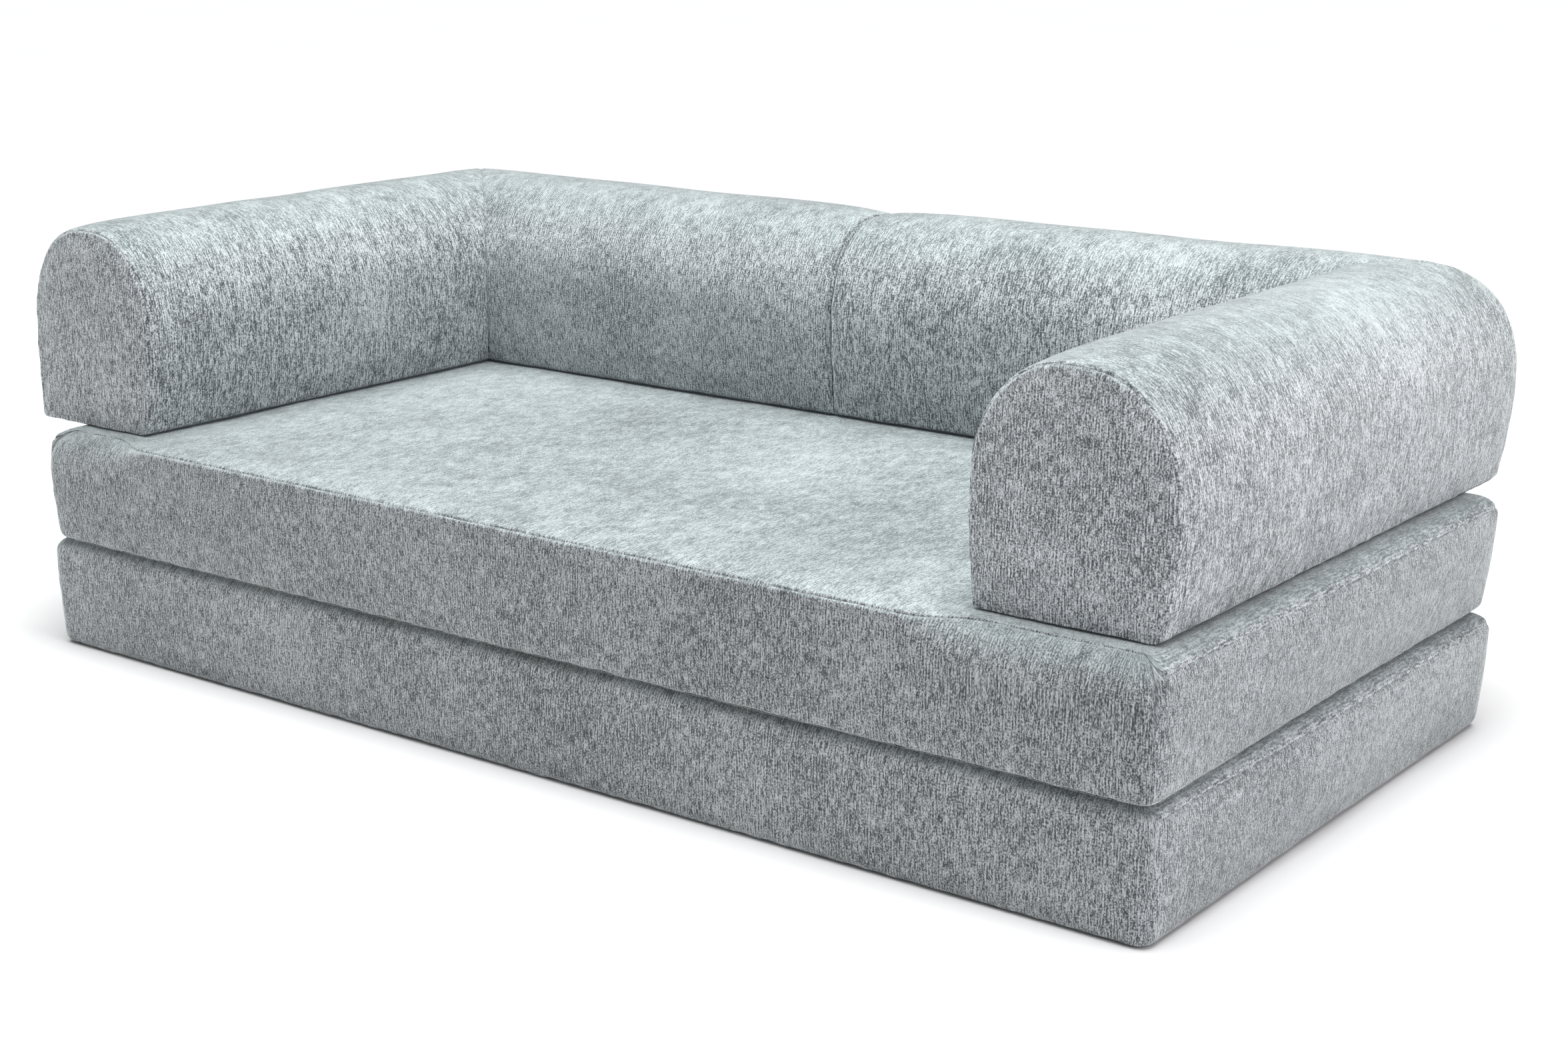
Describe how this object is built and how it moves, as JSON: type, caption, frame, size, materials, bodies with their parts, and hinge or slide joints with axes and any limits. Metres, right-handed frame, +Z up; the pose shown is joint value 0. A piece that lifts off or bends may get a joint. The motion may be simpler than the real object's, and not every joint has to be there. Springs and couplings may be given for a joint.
{
  "type": "futon sofa bed",
  "caption": "Frameless sofa bed: stacked foam mattresses hinged along the front, with lift-off L-shaped bolsters as arms and back, in zipped fabric covers.",
  "frame": {"origin": "middle of the base mattress's flat underside, on the floor", "axes": "+X along the sofa's width, to the right of someone who faces its front; -Y is the front; +Z is up"},
  "size_m": [2.095, 1.1104, 0.6766],
  "materials": {
    "upholstery": "matte",
    "lining": "matte",
    "foam": "matte",
    "wadding": "matte",
    "zip_tape": "matte",
    "zip_metal": "satin"
  },
  "bodies": {
    "base": {"base_foam": "foam", "base_wadding_top": "wadding", "base_wadding_bottom": "wadding", "base_top_panel": "upholstery", "base_border": "upholstery", "base_underside": "lining", "base_zip": "zip_tape"},
    "base_zip_slider": {"base_zip_slider": "zip_metal"},
    "base_zip_puller": {"base_zip_puller": "zip_metal"},
    "seat": {"seat_foam": "foam", "seat_wadding_top": "wadding", "seat_wadding_bottom": "wadding", "seat_top_panel": "upholstery", "seat_border": "upholstery", "seat_underside": "upholstery", "seat_zip": "zip_tape", "hinge_strip": "upholstery"},
    "seat_zip_slider": {"seat_zip_slider": "zip_metal"},
    "seat_zip_puller": {"seat_zip_puller": "zip_metal"},
    "left_bolster": {"left_arm_foam": "foam", "left_back_foam": "foam", "left_arm_wadding": "wadding", "left_back_wadding": "wadding", "left_arm_cover": "upholstery", "left_back_cover": "upholstery", "left_front_cap": "upholstery", "left_centre_cap": "upholstery", "left_underside": "lining", "left_zip": "zip_tape"},
    "left_zip_slider": {"left_zip_slider": "zip_metal"},
    "left_zip_puller": {"left_zip_puller": "zip_metal"},
    "right_bolster": {"right_arm_foam": "foam", "right_back_foam": "foam", "right_arm_wadding": "wadding", "right_back_wadding": "wadding", "right_arm_cover": "upholstery", "right_back_cover": "upholstery", "right_front_cap": "upholstery", "right_centre_cap": "upholstery", "right_underside": "lining", "right_zip": "zip_tape"},
    "right_zip_slider": {"right_zip_slider": "zip_metal"},
    "right_zip_puller": {"right_zip_puller": "zip_metal"}
  },
  "joints": [
    {"name": "fold", "type": "hinge", "parent": "seat", "child": "base", "pos_m": [0, -0.503, 0.17515], "axis": [-1, 0, 0], "range_deg": [0, 180], "deforming": ["hinge_strip"]},
    {"name": "left_lift_off", "type": "slide", "parent": "seat", "child": "left_bolster", "axis": [0, 0, 1], "range_m": [0, 0.5]},
    {"name": "right_lift_off", "type": "slide", "parent": "seat", "child": "right_bolster", "axis": [0, 0, 1], "range_m": [0, 0.5]},
    {"name": "base_zip_slide", "type": "slide", "parent": "base", "child": "base_zip_slider", "axis": [-1, 0, 0], "range_m": [0, 1.67]},
    {"name": "base_zip_pull", "type": "hinge", "parent": "base_zip_slider", "child": "base_zip_puller", "pos_m": [0.836, 0.5046, 0.0875], "axis": [0, 0, 1], "range_deg": [0, 180]},
    {"name": "seat_zip_slide", "type": "slide", "parent": "seat", "child": "seat_zip_slider", "axis": [-1, 0, 0], "range_m": [0, 1.67]},
    {"name": "seat_zip_pull", "type": "hinge", "parent": "seat_zip_slider", "child": "seat_zip_puller", "pos_m": [0.836, 0.5046, 0.2628], "axis": [0, 0, 1], "range_deg": [0, 180]},
    {"name": "left_zip_slide", "type": "slide", "parent": "left_bolster", "child": "left_zip_slider", "axis": [1, 0, 0], "range_m": [0, 0.73]},
    {"name": "left_zip_pull", "type": "hinge", "parent": "left_zip_slider", "child": "left_zip_puller", "pos_m": [-0.943, 0.6086, 0.4106], "axis": [0, 0, -1], "range_deg": [0, 180]},
    {"name": "right_zip_slide", "type": "slide", "parent": "right_bolster", "child": "right_zip_slider", "axis": [-1, 0, 0], "range_m": [0, 0.73]},
    {"name": "right_zip_pull", "type": "hinge", "parent": "right_zip_slider", "child": "right_zip_puller", "pos_m": [0.827, 0.6086, 0.4106], "axis": [0, 0, 1], "range_deg": [0, 180]}
  ]
}
